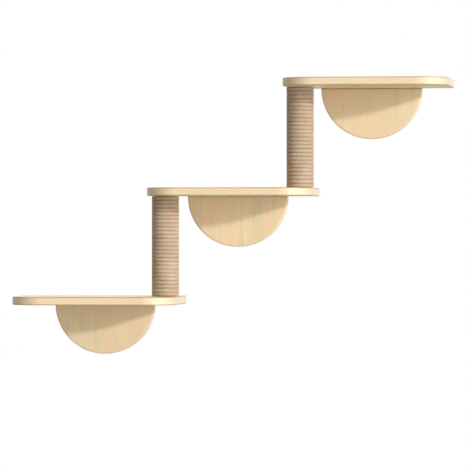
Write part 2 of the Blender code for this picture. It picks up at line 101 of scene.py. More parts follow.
def lacqueredPine(name, turn, start, flat, paleness, worn):
    # Edge-glued pine, sanded and brushed with clear satin lacquer: pale yellow wood whose rings and fibres
    # show as soft lines along the grain, end grain a little greyer, and a low even sheen.
    material, tree = newMaterial(name)
    place = addNode(tree, "TexCoord").outputs["Object"]
    grain = addNode(tree, "Mapping", {"Vector": place, "Rotation": turn, "Location": start}).outputs[0]

    # Each glued stave is cut from another part of the log
    across = addNode(tree, "SeparateXYZ", {"Vector": grain}).outputs["Y"]
    stave = addNode(tree, "Math", {0: across, 1: pine["staveWidth"]}, operation="DIVIDE").outputs[0]
    stave = addNode(tree, "Math", {0: stave}, operation="FLOOR").outputs[0]
    chance = addNode(tree, "TexWhiteNoise", {"W": stave}, noise_dimensions="1D")
    shift = addNode(
        tree, "VectorMath", {0: chance.outputs["Color"], 1: pine["staveShift"]}, operation="MULTIPLY"
    ).outputs[0]
    straight = addNode(tree, "VectorMath", {0: grain, 1: shift}, operation="ADD").outputs[0]

    # No trunk is quite straight, so its lines wander a few millimetres to either side
    bends = addNode(
        tree, "TexNoise", {"Vector": straight, "Scale": 1 / pine["bendLength"], "Detail": 1.0}
    ).outputs["Color"]
    sway = (0, pine["bendWidth"], pine["bendWidth"])
    own = addNode(tree, "VectorMath", {0: bends, 1: sway, 2: straight}, operation="MULTIPLY_ADD").outputs[0]

    # Rings, streaks and fibres are drawn out ten to twenty times along the grain
    log = addNode(
        tree, "Mapping", {"Vector": own, "Location": pine["pith"], "Scale": (0.08, 1, 1)}
    ).outputs[0]
    rings = addNode(
        tree,
        "TexWave",
        {
            "Vector": log,
            "Scale": ringWave / pine["ringSpacing"],
            "Distortion": 5.0,
            "Detail": 2.0,
            "Detail Scale": 0.35,
            "Detail Roughness": 0.45,
        },
        wave_type="RINGS",
        rings_direction="X",
        wave_profile="SAW",
    ).outputs["Fac"]
    ringLine = addNode(tree, "Math", {0: rings, 1: 2.0}, operation="POWER").outputs[0]
    long = addNode(tree, "Mapping", {"Vector": own, "Scale": (0.10, 1, 1)}).outputs[0]
    streaks = addNode(
        tree, "TexNoise", {"Vector": long, "Scale": 1 / pine["streakWidth"], "Detail": 2.0, "Roughness": 0.55}
    ).outputs["Fac"]
    fine = addNode(tree, "Mapping", {"Vector": own, "Scale": (0.05, 1, 1)}).outputs[0]
    fibres = addNode(
        tree, "TexNoise", {"Vector": fine, "Scale": 1 / pine["fibreWidth"], "Detail": 3.0, "Roughness": 0.6}
    ).outputs["Fac"]

    late = addNode(tree, "Math", {0: ringLine, 1: pine["lateAmount"]}, operation="MULTIPLY").outputs[0]
    colour = addNode(
        tree, "Mix", {0: late, 6: linear(pine["early"]), 7: linear(pine["late"])}, data_type="RGBA"
    ).outputs[2]
    rosy = addNode(
        tree,
        "MapRange",
        {"Value": streaks, "From Min": 0.46, "From Max": 0.66, "To Max": pine["blushAmount"]},
    ).outputs[0]
    colour = addNode(
        tree, "Mix", {0: rosy, 6: colour, 7: linear(pine["blush"])}, data_type="RGBA"
    ).outputs[2]
    shade = addNode(
        tree, "MapRange", {"Value": fibres, "From Min": 0.3, "From Max": 0.7, "To Min": 0.95, "To Max": 1.02}
    ).outputs[0]
    tone = addNode(
        tree,
        "MapRange",
        {"Value": chance.outputs["Value"], "To Min": paleness - pine["staveContrast"], "To Max": paleness},
    ).outputs[0]
    shade = addNode(tree, "Math", {0: shade, 1: tone}, operation="MULTIPLY").outputs[0]
    darker = addNode(
        tree, "MapRange", {"Value": streaks, "From Min": 0.30, "From Max": 0.5, "To Min": 0.93, "To Max": 1.0}
    ).outputs[0]
    shade = addNode(tree, "Math", {0: shade, 1: darker}, operation="MULTIPLY").outputs[0]
    grey = addNode(tree, "CombineColor", {"Red": shade, "Green": shade, "Blue": shade}).outputs[0]
    colour = addNode(
        tree, "Mix", {0: 1.0, 6: colour, 7: grey}, data_type="RGBA", blend_type="MULTIPLY"
    ).outputs[2]

    # End grain drinks the lacquer and stays greyer. It shows where a face looks nearly along the grain
    normal = addNode(tree, "NewGeometry").outputs["True Normal"]
    facing = addNode(tree, "VectorRotate", {"Vector": normal, "Rotation": turn}, rotation_type="EULER_XYZ")
    endOn = addNode(tree, "SeparateXYZ", {"Vector": facing.outputs[0]}).outputs["X"]
    endOn = addNode(tree, "Math", {0: endOn}, operation="ABSOLUTE").outputs[0]
    endGrain = addNode(
        tree, "MapRange", {"Value": endOn, "From Min": 0.8, "From Max": 1.0, "To Max": pine["endGrainAmount"]}
    ).outputs[0]
    colour = addNode(
        tree, "Mix", {0: endGrain, 6: colour, 7: linear(pine["endGrain"])}, data_type="RGBA"
    ).outputs[2]

    # Arrises that are neither level with the flat faces nor square to them are painted darker,
    # partly as wear and partly as painted shade along the boards' edges
    level = addNode(tree, "VectorMath", {0: normal, 1: flat}, operation="DOT_PRODUCT").outputs["Value"]
    level = addNode(tree, "Math", {0: level}, operation="ABSOLUTE").outputs[0]
    arris = addNode(tree, "Math", {0: level, 1: 0.5, 2: 0.42}, operation="COMPARE").outputs[0]
    arris = addNode(tree, "Math", {0: arris, 1: worn}, operation="MULTIPLY").outputs[0]
    colour = addNode(
        tree, "Mix", {0: arris, 6: colour, 7: linear(pine["arris"])}, data_type="RGBA"
    ).outputs[2]

    rough = addNode(
        tree,
        "MapRange",
        {"Value": streaks, "To Min": pine["roughness"] - 0.05, "To Max": pine["roughness"] + 0.08},
    ).outputs[0]
    relief = addNode(tree, "Math", {0: ringLine, 1: fibres}, operation="ADD").outputs[0]
    bump = addNode(tree, "Bump", {"Height": relief, "Strength": 0.25, "Distance": 0.00012}).outputs[0]
    shader = addNode(
        tree,
        "BsdfPrincipled",
        {"Base Color": colour, "Roughness": rough, "Normal": bump, "IOR": 1.5, "Specular IOR Level": 0.5},
    )
    addNode(tree, "OutputMaterial", {"Surface": shader.outputs["BSDF"]})
    return material


sisal = {
    # the crease colour is painted shade with some dust
    "light": "#cfbba1", "brown": "#b8987c", "straw": "#d7c6ad", "creaseShadeAndDust": "#8d7257",
    "strawAmount": 0.5, "creaseShadeAndDustAmount": 0.32,
    "fibreLength": 0.022,
    "fibreWidth": 0.0006,  # really about 0.2 mm, drawn coarser so that it shows
    "fibreLean": 0.6,  # turns round the rope in the length of one lay
    "patchWidth": 0.03,
    "driftLength": 0.17,  # about one turn round the post
}


def sisalRope(name, length, around, lay):
    # Three-strand sisal, dry and unoiled: coarse straw-coloured fibres with a faint silky line along each, no
    # gloss, the creases between the strands painted brown as shade with some dust. Drawn along the rope by
    # its own UV map.
    material, tree = newMaterial(name)
    uv = addNode(tree, "UVMap", uv_map="ropeUv").outputs["UV"]
    split = addNode(tree, "SeparateXYZ", {"Vector": uv})
    along, turn = split.outputs["X"], split.outputs["Y"]
    along = addNode(tree, "Math", {0: along, 1: length}, operation="MULTIPLY").outputs[0]  # metres
    lean = addNode(tree, "Math", {0: along, 1: sisal["fibreLean"] / lay}, operation="MULTIPLY").outputs[0]
    turned = addNode(tree, "Math", {0: turn, 1: lean}, operation="ADD").outputs[0]
    around = addNode(tree, "Math", {0: turned, 1: around}, operation="MULTIPLY").outputs[0]

    # The fibres lie nearly straight along the rope, so they cross the strands at a slant
    lengths = addNode(tree, "Math", {0: along, 1: 1 / sisal["fibreLength"]}, operation="MULTIPLY").outputs[0]
    widths = addNode(tree, "Math", {0: around, 1: 1 / sisal["fibreWidth"]}, operation="MULTIPLY").outputs[0]
    hair = addNode(tree, "CombineXYZ", {"X": lengths, "Y": widths}).outputs[0]
    fibres = addNode(
        tree, "TexNoise", {"Vector": hair, "Scale": 1.0, "Detail": 4.0, "Roughness": 0.65}
    ).outputs["Fac"]
    place = addNode(tree, "TexCoord").outputs["Object"]
    patches = addNode(
        tree, "TexNoise", {"Vector": place, "Scale": 1 / sisal["patchWidth"], "Detail": 2.0, "Roughness": 0.5}
    ).outputs["Fac"]
    # The fibre's colour drifts along the rope, so that some turns are browner than others
    onward = addNode(tree, "CombineXYZ", {"X": along}).outputs[0]
    drift = addNode(
        tree, "TexNoise", {"Vector": onward, "Scale": 1 / sisal["driftLength"], "Detail": 3.0}
    ).outputs["Fac"]

    fresh = addNode(tree, "MapRange", {"Value": fibres, "From Min": 0.32, "From Max": 0.68}).outputs[0]
    colour = addNode(
        tree, "Mix", {0: fresh, 6: linear(sisal["brown"]), 7: linear(sisal["light"])}, data_type="RGBA"
    ).outputs[2]
    pale = addNode(
        tree,
        "MapRange",
        {"Value": patches, "From Min": 0.45, "From Max": 0.7, "To Max": sisal["strawAmount"]},
    ).outputs[0]
    colour = addNode(
        tree, "Mix", {0: pale, 6: colour, 7: linear(sisal["straw"])}, data_type="RGBA"
    ).outputs[2]
    shade = addNode(
        tree, "MapRange", {"Value": drift, "From Min": 0.3, "From Max": 0.7, "To Min": 0.88, "To Max": 1.04}
    ).outputs[0]
    grey = addNode(tree, "CombineColor", {"Red": shade, "Green": shade, "Blue": shade}).outputs[0]
    colour = addNode(
        tree, "Mix", {0: 1.0, 6: colour, 7: grey}, data_type="RGBA", blend_type="MULTIPLY"
    ).outputs[2]

    # Painted shade, with some dust, darkens the creases between the strands
    third = addNode(tree, "Math", {0: turn, 1: 3 * pi}, operation="MULTIPLY").outputs[0]
    third = addNode(tree, "Math", {0: third}, operation="COSINE").outputs[0]
    third = addNode(tree, "Math", {0: third}, operation="ABSOLUTE").outputs[0]  # 1 on a strand, 0 in a crease
    creaseShadeAndDust = addNode(
        tree,
        "MapRange",
        {"Value": third, "From Min": 0.0, "From Max": 0.40, "To Min": sisal["creaseShadeAndDustAmount"], "To Max": 0.0},
    ).outputs[0]
    colour = addNode(
        tree, "Mix", {0: creaseShadeAndDust, 6: colour, 7: linear(sisal["creaseShadeAndDust"])}, data_type="RGBA"
    ).outputs[2]

    bump = addNode(tree, "Bump", {"Height": fibres, "Strength": 0.7, "Distance": 0.0004}).outputs[0]
    shader = addNode(
        tree,
        "BsdfPrincipled",
        {"Base Color": colour, "Roughness": 0.88, "Normal": bump, "Specular IOR Level": 0.25,
         "Sheen Weight": 0.15, "Sheen Roughness": 0.5},
    )
    addNode(tree, "OutputMaterial", {"Surface": shader.outputs["BSDF"]})
    return material


zinc = {
    "blue": "#c6cbd3", "straw": "#d2cdbd",
    "bloomWidth": 0.006,
    "gritWidth": 0.0005,  # really under 0.1 mm, drawn coarser so that it shows
    "rough": (0.24, 0.46),
}


def zincPlatedSteel():
    # Cold-headed steel, zinc plated and clear passivated: bright grey with a faint blue and straw bloom, and
    # the soft grain of tumbled plating.
    material, tree = newMaterial("zincPlatedSteel")
    place = addNode(tree, "TexCoord").outputs["Object"]
    bloom = addNode(
        tree, "TexNoise", {"Vector": place, "Scale": 1 / zinc["bloomWidth"], "Detail": 2.0}
    ).outputs["Fac"]
    grit = addNode(
        tree, "TexNoise", {"Vector": place, "Scale": 1 / zinc["gritWidth"], "Detail": 3.0}
    ).outputs["Fac"]
    colour = addNode(
        tree, "Mix", {0: bloom, 6: linear(zinc["blue"]), 7: linear(zinc["straw"])}, data_type="RGBA"
    ).outputs[2]
    smooth, dull = zinc["rough"]
    rough = addNode(tree, "MapRange", {"Value": grit, "To Min": smooth, "To Max": dull}).outputs[0]
    bump = addNode(tree, "Bump", {"Height": grit, "Strength": 0.2, "Distance": 0.00003}).outputs[0]
    shader = addNode(
        tree, "BsdfPrincipled", {"Base Color": colour, "Metallic": 1.0, "Roughness": rough, "Normal": bump}
    )
    addNode(tree, "OutputMaterial", {"Surface": shader.outputs["BSDF"]})
    return material


beech = {"tan": "#d0a37a", "pink": "#dfb98f", "fleck": "#a8784f", "fleckWidth": 0.0008, "grainWidth": 0.004}


def bareBeech():
    # Turned beech, left bare: pinkish tan with short dark flecks along the grain, matt.
    material, tree = newMaterial("beech")
    place = addNode(tree, "TexCoord").outputs["Object"]
    long = addNode(tree, "Mapping", {"Vector": place, "Scale": (1, 1, 0.12)}).outputs[0]
    flecks = addNode(
        tree, "TexNoise", {"Vector": long, "Scale": 1 / beech["fleckWidth"], "Detail": 2.0}
    ).outputs["Fac"]
    grain = addNode(
        tree, "TexNoise", {"Vector": long, "Scale": 1 / beech["grainWidth"], "Detail": 3.0}
    ).outputs["Fac"]
    colour = addNode(
        tree, "Mix", {0: grain, 6: linear(beech["tan"]), 7: linear(beech["pink"])}, data_type="RGBA"
    ).outputs[2]
    dark = addNode(tree, "MapRange", {"Value": flecks, "From Min": 0.58, "From Max": 0.66}).outputs[0]
    colour = addNode(
        tree, "Mix", {0: dark, 6: colour, 7: linear(beech["fleck"])}, data_type="RGBA"
    ).outputs[2]
    bump = addNode(tree, "Bump", {"Height": flecks, "Strength": 0.3, "Distance": 0.0001}).outputs[0]
    shader = addNode(tree, "BsdfPrincipled", {"Base Color": colour, "Roughness": 0.62, "Normal": bump})
    addNode(tree, "OutputMaterial", {"Surface": shader.outputs["BSDF"]})
    return material


kraft = {
    "dark": "#9a7550", "light": "#b8946b", "cloud": "#a9845c", "seam": "#6f5236",
    "fibreWidth": 0.0007,  # really under 0.1 mm, drawn coarser so that it shows
    "cloudWidth": 0.012, "stripWidth": 0.0462, "seamAmount": 0.6,
}


def kraftPaper():
    # Spirally wound kraft paperboard: brown paper in 46 mm strips whose edges make slanting lines, with short
    # pale and dark fibres, quite matt.
    material, tree = newMaterial("kraftPaperboard")
    place = addNode(tree, "TexCoord").outputs["Object"]
    fibres = addNode(
        tree, "TexNoise", {"Vector": place, "Scale": 1 / kraft["fibreWidth"], "Detail": 3.0}
    ).outputs["Fac"]
    clouds = addNode(
        tree, "TexNoise", {"Vector": place, "Scale": 1 / kraft["cloudWidth"], "Detail": 2.0}
    ).outputs["Fac"]
    strips = addNode(
        tree,
        "TexWave",
        {"Vector": place, "Scale": diagonalWave / kraft["stripWidth"]},
        bands_direction="DIAGONAL",
        wave_profile="SAW",
    ).outputs["Fac"]
    colour = addNode(
        tree, "Mix", {0: fibres, 6: linear(kraft["dark"]), 7: linear(kraft["light"])}, data_type="RGBA"
    ).outputs[2]
    colour = addNode(
        tree, "Mix", {0: clouds, 6: colour, 7: linear(kraft["cloud"])}, data_type="RGBA"
    ).outputs[2]
    seam = addNode(
        tree, "MapRange", {"Value": strips, "From Min": 0.96, "From Max": 1.0, "To Max": kraft["seamAmount"]}
    ).outputs[0]
    colour = addNode(
        tree, "Mix", {0: seam, 6: colour, 7: linear(kraft["seam"])}, data_type="RGBA"
    ).outputs[2]
    bump = addNode(tree, "Bump", {"Height": fibres, "Strength": 0.3, "Distance": 0.0001}).outputs[0]
    shader = addNode(tree, "BsdfPrincipled", {"Base Color": colour, "Roughness": 0.9, "Normal": bump})
    addNode(tree, "OutputMaterial", {"Surface": shader.outputs["BSDF"]})
    return material


steel = zincPlatedSteel()
turnedBeech = bareBeech()
paper = kraftPaper()
print("materials made")


def pieceName(node):
    first, *rest = node.split("_")
    return first + "".join(word.capitalize() for word in rest)


def middleOf(node):
    low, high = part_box(node)
    return (low + high) / 2, high - low


def asMesh(name, bm):
    bmesh.ops.remove_doubles(bm, verts=bm.verts, dist=1e-7)
    bmesh.ops.recalc_face_normals(bm, faces=bm.faces)
    mesh = bpy.data.meshes.new(name)
    bm.to_mesh(mesh)
    bm.free()
    return mesh


def addPiece(name, mesh, material, slot, *nodes):
    piece = bpy.data.objects.new(name, mesh)
    bpy.context.scene.collection.objects.link(piece)
    mesh.materials.append(material)
    mesh.shade_smooth()
    mesh.set_sharp_from_angle(angle=sharpAngle)
    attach(piece, "root")
    if nodes:
        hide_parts(*nodes)
    return piece


def applied(piece):
    bpy.context.view_layer.update()
    shaped = piece.evaluated_get(bpy.context.evaluated_depsgraph_get())
    mesh = bpy.data.meshes.new_from_object(shaped)
    piece.modifiers.clear()
    piece.data = mesh
    return mesh


def cutAway(piece, cutters):
    # Each cutter is a mesh of its own, so that cutters may overlap
    tools = []
    for mesh in cutters:
        tool = bpy.data.objects.new("cutter", mesh)
        bpy.context.scene.collection.objects.link(tool)
        cut = piece.modifiers.new("cut", "BOOLEAN")
        cut.object = tool
        cut.solver = "EXACT"
        tools.append(tool)
    mesh = applied(piece)
    for tool in tools:
        bpy.data.objects.remove(tool)
    mesh.shade_smooth()
    mesh.set_sharp_from_angle(angle=sharpAngle)


def evenShading(piece):
    # Flat faces keep their flat shading right up to a rounded edge
    weigh = piece.modifiers.new("weigh", "WEIGHTED_NORMAL")
    weigh.keep_sharp = True
    weigh.weight = 100
    applied(piece)


def roundOff(bm, edges, radius, segments):
    bmesh.ops.bevel(
        bm, geom=edges, offset=radius, segments=segments, profile=0.5, affect="EDGES", material=-1
    )


def spun(profile, place, facets):
    # A profile of (radius, height) spun about the place's own Z; it starts and ends on the axis
    bm = bmesh.new()
    verts = [bm.verts.new((radius, 0, height)) for radius, height in profile]
    edges = [bm.edges.new(pair) for pair in zip(verts, verts[1:])]
    bmesh.ops.spin(
        bm, geom=verts + edges, cent=(0, 0, 0), axis=(0, 0, 1), angle=2 * pi, steps=facets, use_merge=True
    )
    bmesh.ops.transform(bm, matrix=place, verts=bm.verts)
    return asMesh("spun", bm)


def rod(radius, low, high, place, facets=boreFacets):
    return spun([(0, low), (radius, low), (radius, high), (0, high)], place, facets)


def block(low, high, place=Matrix()):
    low, high = Vector(low), Vector(high)
    bm = bmesh.new()
    bmesh.ops.create_cube(bm, size=1, matrix=place @ Matrix.LocRotScale((low + high) / 2, None, high - low))
    return asMesh("block", bm)


def hexagonKey(across, depth, place):
    # The room for a key of this size across its flats, from just above the head down to its depth
    above = 0.001
    radius = across / sqrt(3)
    bm = bmesh.new()
    bmesh.ops.create_cone(
        bm, cap_ends=True, segments=6, radius1=radius, radius2=radius, depth=depth + above,
        matrix=place @ Matrix.Translation((0, 0, (above - depth) / 2)),
    )
    return asMesh("key", bm)


def countersunkHole(shank, head, depth, place):
    wide = shank / 2 + clearance
    mouth = head / 2 + clearance
    profile = [(0, -depth), (wide, -depth), (wide, wide - mouth - headRim), (mouth, -headRim), (mouth, past),
               (0, past)]
    return spun(profile, place, countersinkFacets)


shelfBoard = {
    "cornerRadius": 0.070, "cornerSegments": 36,
    "edgeRadius": 0.002, "edgeSegments": 5,
    "paleness": (0.99, 1.0, 1.01),  # lower, middle and upper
    # the arrises' darker colour is partly wear and partly painted shade
    "worn": 0.95,  # how far the arrises take their darker colour
}
shelfBolt = {"shank": 0.006, "head": 0.012, "key": 0.004, "socket": 0.0024, "facets": 64}
postBolt = {"shank": 0.008, "head": 0.016, "key": 0.005, "socket": 0.003, "facets": 64}


def addShelf(index, step):
    node = f"{step}_shelf"
    low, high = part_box(node)
    bm = bmesh.new()
    bmesh.ops.create_cube(bm, size=1, matrix=Matrix.LocRotScale((low + high) / 2, None, high - low))
    front = low.y + 0.001
    corners = [edge for edge in bm.edges if all(vert.co.y < front for vert in edge.verts)
               and abs(edge.verts[0].co.z - edge.verts[1].co.z) > 0.001]
    roundOff(bm, corners, shelfBoard["cornerRadius"], shelfBoard["cornerSegments"])
    rims = [edge for edge in bm.edges if abs(edge.verts[0].co.z - edge.verts[1].co.z) < 1e-5]
    roundOff(bm, rims, shelfBoard["edgeRadius"], shelfBoard["edgeSegments"])
    start = (0.31 * index, 0.017 + 0.213 * index, 0.4 * index)  # no two boards show the same grain
    material = lacqueredPine(
        f"{step}ShelfLacqueredPine", turn=alongWall, start=start, flat=(0, 0, 1),
        paleness=shelfBoard["paleness"][index], worn=shelfBoard["worn"],
    )
    shelf = addPiece(pieceName(node), asMesh(node, bm), material, "lacquered_pine", node)

    through = high.z - low.z + past
    cutters = []
    for side in sides:
        bolt = middleOf(f"{step}_{side}_shelf_bolt")[0]
        place = Matrix.Translation((bolt.x, bolt.y, high.z))
        cutters.append(countersunkHole(shelfBolt["shank"], shelfBolt["head"], through, place))
        dowel, size = middleOf(f"{step}_{side}_dowel")
        top = dowel.z + size.z / 2 + clearance - low.z
        place = Matrix.Translation((dowel.x, dowel.y, low.z))
        cutters.append(rod(size.x / 2 + clearance, -past, top, place))
    # The post that stands on this shelf, and the one that carries it
    ends = ((index, "bottom", low.z, upsideDown), (index - 1, "top", high.z, Matrix()))
    for post, end, face, turn in ends:
        if 0 <= post < len(posts):
            bolt = middleOf(f"{posts[post]}_post_{end}_bolt")[0]
            place = Matrix.Translation((bolt.x, bolt.y, face)) @ turn
            cutters.append(countersunkHole(postBolt["shank"], postBolt["head"], through, place))
    cutAway(shelf, cutters)
    evenShading(shelf)


wallPlate = {
    "radius": 0.1125, "thickness": 0.018, "segments": 192,
    "edgeRadius": 0.0035, "edgeSegments": 6,
    "pocketDepth": 0.0085, "pocketHalf": 0.006,
    # the plates' arrises take a little of that colour: partly wear, partly painted shade
    "paleness": (0.905, 0.97, 1.0), "worn": 0.12,
}
hanger = {
    "width": 0.016, "height": 0.042, "thickness": 0.0015, "sink": 0.0002,
    "cornerRadius": 0.004, "cornerSegments": 8,
    "stampedRadius": 0.00025, "stampedSegments": 2,
    "slot": 0.005, "entry": 0.010, "drop": 0.011,  # the round entry lies this far below the slot's end
    "screwSpacing": 0.0325,
}
hangerScrew = {
    "shank": 0.003, "head": 0.0056, "length": 0.012, "facets": 32,
    "recess": 0.0026, "recessWidth": 0.0005, "recessDepth": 0.0015, "recessTaper": 0.35,
}
crossNut = {
    "diameter": 0.010, "length": 0.012, "edge": 0.0004, "facets": 48,
    "bore": 0.0066, "boreFacets": 32,
    "slotWidth": 0.0014, "slotDepth": 0.0012,
}


def hangerPlace(step, side):
    # Where the wall screw bears: local +Z looks at the wall and +Y down
    middle = middleOf(f"{step}_{side}_keyhole_hanger")[0]
    return Matrix.Translation((middle.x, 0, middle.z + hanger["drop"] / 2)) @ toWall


def hangerBlank(play, low, high):
    # The hanger's outline with this play round it, from one height to another
    half = hanger["drop"] / 2
    bm = bmesh.new()
    size = Vector((hanger["width"] + 2 * play, hanger["height"] + 2 * play, high - low))
    bmesh.ops.create_cube(bm, size=1, matrix=Matrix.LocRotScale((0, half, (low + high) / 2), None, size))
    corners = [edge for edge in bm.edges if abs(edge.verts[0].co.z - edge.verts[1].co.z) > 1e-4]
    roundOff(bm, corners, hanger["cornerRadius"] + play, hanger["cornerSegments"])
    return bm


def hangerScrewPlaces(place):
    half, reach = hanger["drop"] / 2, hanger["screwSpacing"] / 2
    return [place @ Matrix.Translation((0, half + way * reach, -hanger["sink"])) for way in (-1, 1)]


def addWallPlate(index, step):
    node = f"{step}_wall_plate"
    low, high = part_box(node)
    centre = (low.x + high.x) / 2

    # Half a disc, made thick and rounded all round its front face, then turned upright
    bm = bmesh.new()
    bmesh.ops.create_circle(bm, cap_ends=True, segments=wallPlate["segments"], radius=wallPlate["radius"])
    bmesh.ops.bisect_plane(
        bm, geom=bm.verts[:] + bm.edges[:] + bm.faces[:], dist=1e-6, plane_co=(0, 0, 0), plane_no=(0, 1, 0),
        clear_outer=True,
    )
    grown = bmesh.ops.extrude_face_region(bm, geom=bm.faces[:], use_keep_orig=True)["geom"]
    top = [item for item in grown if isinstance(item, bmesh.types.BMVert)]
    bmesh.ops.translate(bm, vec=(0, 0, wallPlate["thickness"]), verts=top)
    bmesh.ops.recalc_face_normals(bm, faces=bm.faces)
    rim = [edge for edge in bm.edges if all(vert.co.z > wallPlate["thickness"] - 1e-5 for vert in edge.verts)]
    roundOff(bm, rim, wallPlate["edgeRadius"], wallPlate["edgeSegments"])
    bmesh.ops.transform(
        bm, matrix=Matrix.Translation((centre, 0, high.z)) @ Matrix.Rotation(pi / 2, 4, "X"), verts=bm.verts
    )
    start = (0.23 * index, 0.021 + 0.171 * index, 0.3)
    material = lacqueredPine(
        f"{step}WallPlateLacqueredPine", turn=upAndDown, start=start, flat=(0, 1, 0),
        paleness=wallPlate["paleness"][index], worn=wallPlate["worn"],
    )
    plate = addPiece(pieceName(node), asMesh(node, bm), material, "lacquered_pine", node)

    cutters = []
    top = high.z + past
    for side in sides:
        bolt, size = middleOf(f"{step}_{side}_shelf_bolt")
        bottom = bolt.z - size.z / 2 - clearance
        place = Matrix.Translation((bolt.x, bolt.y, 0))
        cutters.append(rod(shelfBolt["shank"] / 2 + clearance, bottom, top, place))
        dowel, size = middleOf(f"{step}_{side}_dowel")
        bottom = dowel.z - size.z / 2 - clearance
        place = Matrix.Translation((dowel.x, dowel.y, 0))
        cutters.append(rod(size.x / 2 + clearance, bottom, top, place))
        nut = middleOf(f"{step}_{side}_cross_nut")[0]
        deep = (wallPlate["thickness"] + crossNut["length"]) / 2 + clearance
        place = Matrix.Translation((nut.x, 0, nut.z)) @ toWall
        cutters.append(rod(crossNut["diameter"] / 2 + clearance, -deep, past, place))

        # The hanger's seat, the pocket behind it for the wall screws' heads, and the holes of its own screws
        place = hangerPlace(step, side)
        seat = hangerBlank(clearance, -(hanger["sink"] + hanger["thickness"] + clearance), past)
        bmesh.ops.transform(seat, matrix=place, verts=seat.verts)
        cutters.append(asMesh("seat", seat))
        half = wallPlate["pocketHalf"]
        pocketLow = (-half, -half, -wallPlate["pocketDepth"])
        pocketHigh = (half, hanger["drop"] + half, -hanger["sink"])
        cutters.append(block(pocketLow, pocketHigh, place))
        for screwPlace in hangerScrewPlaces(place):
            length = hangerScrew["length"] + clearance
            cutters.append(countersunkHole(hangerScrew["shank"], hangerScrew["head"], length, screwPlace))
    cutAway(plate, cutters)
    evenShading(plate)


def addHanger(step, side):
    node = f"{step}_{side}_keyhole_hanger"
    place = hangerPlace(step, side)
    bm = hangerBlank(0, -hanger["sink"] - hanger["thickness"], -hanger["sink"])
    stamped = [edge for edge in bm.edges if abs(edge.verts[0].co.z - edge.verts[1].co.z) < 1e-6]
    roundOff(bm, stamped, hanger["stampedRadius"], hanger["stampedSegments"])
    bmesh.ops.transform(bm, matrix=place, verts=bm.verts)
    piece = addPiece(pieceName(node), asMesh(node, bm), steel, "zinc_plated_steel", node)
    slot, entry = hanger["slot"] / 2, hanger["entry"] / 2
    deep = -2 * past
    screwPlaces = hangerScrewPlaces(place)
    cutters = [
        rod(slot, deep, past, place),
        block((-slot, 0, deep), (slot, hanger["drop"], past), place),
        rod(entry, deep, past, place @ Matrix.Translation((0, hanger["drop"], 0))),
    ]
    for screwPlace in screwPlaces:
        cutters.append(
            countersunkHole(hangerScrew["shank"], hangerScrew["head"], hangerScrew["length"], screwPlace)
        )
    cutAway(piece, cutters)
    evenShading(piece)
    for end, screwPlace in zip(("upper", "lower"), screwPlaces):
        addHangerScrew(f"{node}_{end}_screw", screwPlace)


def addHangerScrew(node, place):
    shank, head, length = hangerScrew["shank"] / 2, hangerScrew["head"] / 2, hangerScrew["length"]
    edge = 0.0001
    profile = [(0, -length), (shank, 2 * shank - length), (shank, shank - head - headRim), (head, -headRim),
               (head - edge, 0), (0, 0)]
    mesh = spun(profile, place, hangerScrew["facets"])
    screw = addPiece(pieceName(node), mesh, steel, "zinc_plated_steel", node)

    # Cross recess: two crossed wedges
    deep, above = hangerScrew["recessDepth"], 0.0005
    size = (hangerScrew["recess"], hangerScrew["recessWidth"], deep + above)
    cross = []
    for turn in (pi / 4, 3 * pi / 4):
        bm = bmesh.new()
        bmesh.ops.create_cube(bm, size=1, matrix=Matrix.LocRotScale((0, 0, (above - deep) / 2), None, size))
        for vert in bm.verts:
            if vert.co.z < 0:
                vert.co.x *= hangerScrew["recessTaper"]
        bmesh.ops.transform(bm, matrix=place @ Matrix.Rotation(turn, 4, "Z"), verts=bm.verts)
        cross.append(asMesh("cross", bm))
    cutAway(screw, cross)


def addBolt(node, bolt, place, length):
    # Countersunk bolt with a hexagon socket, pointing down from its head at the place
    shank, head = bolt["shank"] / 2, bolt["head"] / 2
    tip = shank / 4
    edge = 0.00015
    profile = [(0, -length), (shank - tip, -length), (shank, tip - length), (shank, shank - head - headRim),
               (head, -headRim), (head, -edge), (head - edge, 0), (0, 0)]
    mesh = spun(profile, place, bolt["facets"])
    piece = addPiece(pieceName(node), mesh, steel, "zinc_plated_steel", node)

    # The socket has a chamfered mouth
    mouth, deep, above = bolt["key"] / sqrt(3), 0.0003, 0.0004
    chamfer = [(0, -deep - 0.3 * mouth), (0.7 * mouth, -deep), (mouth + above, above), (0, above)]
    socket = hexagonKey(bolt["key"], bolt["socket"], place)
    cutAway(piece, [socket, spun(chamfer, place, bolt["facets"] // 2)])
    evenShading(piece)


def addBolts():
    for step in steps:
        for side in sides:
            node = f"{step}_{side}_shelf_bolt"
            middle, size = middleOf(node)
            place = Matrix.Translation((middle.x, middle.y, middle.z + size.z / 2))
            addBolt(node, shelfBolt, place, size.z)
    for post in posts:
        for end, way, turn in (("bottom", -1, upsideDown), ("top", 1, Matrix())):
            node = f"{post}_post_{end}_bolt"
            middle, size = middleOf(node)
            place = Matrix.Translation((middle.x, middle.y, middle.z + way * size.z / 2)) @ turn
            addBolt(node, postBolt, place, size.z)


def addCrossNut(step, side):
    node = f"{step}_{side}_cross_nut"
    middle = middleOf(node)[0]
    place = Matrix.Translation(middle) @ toWall
    radius, half, edge = crossNut["diameter"] / 2, crossNut["length"] / 2, crossNut["edge"]
    profile = [(0, -half), (radius - edge, -half), (radius, edge - half), (radius, half - edge),
               (radius - edge, half), (0, half)]
    mesh = spun(profile, place, crossNut["facets"])
    piece = addPiece(pieceName(node), mesh, steel, "zinc_plated_steel", node)
    reach = crossNut["diameter"]
    bore = rod(crossNut["bore"] / 2, -reach, reach, Matrix.Translation(middle), crossNut["boreFacets"])
    width, bottom = crossNut["slotWidth"] / 2, half - crossNut["slotDepth"]
    driverSlot = block((-reach, -width, bottom), (reach, width, half + past), place)
    cutAway(piece, [bore, driverSlot])
    evenShading(piece)


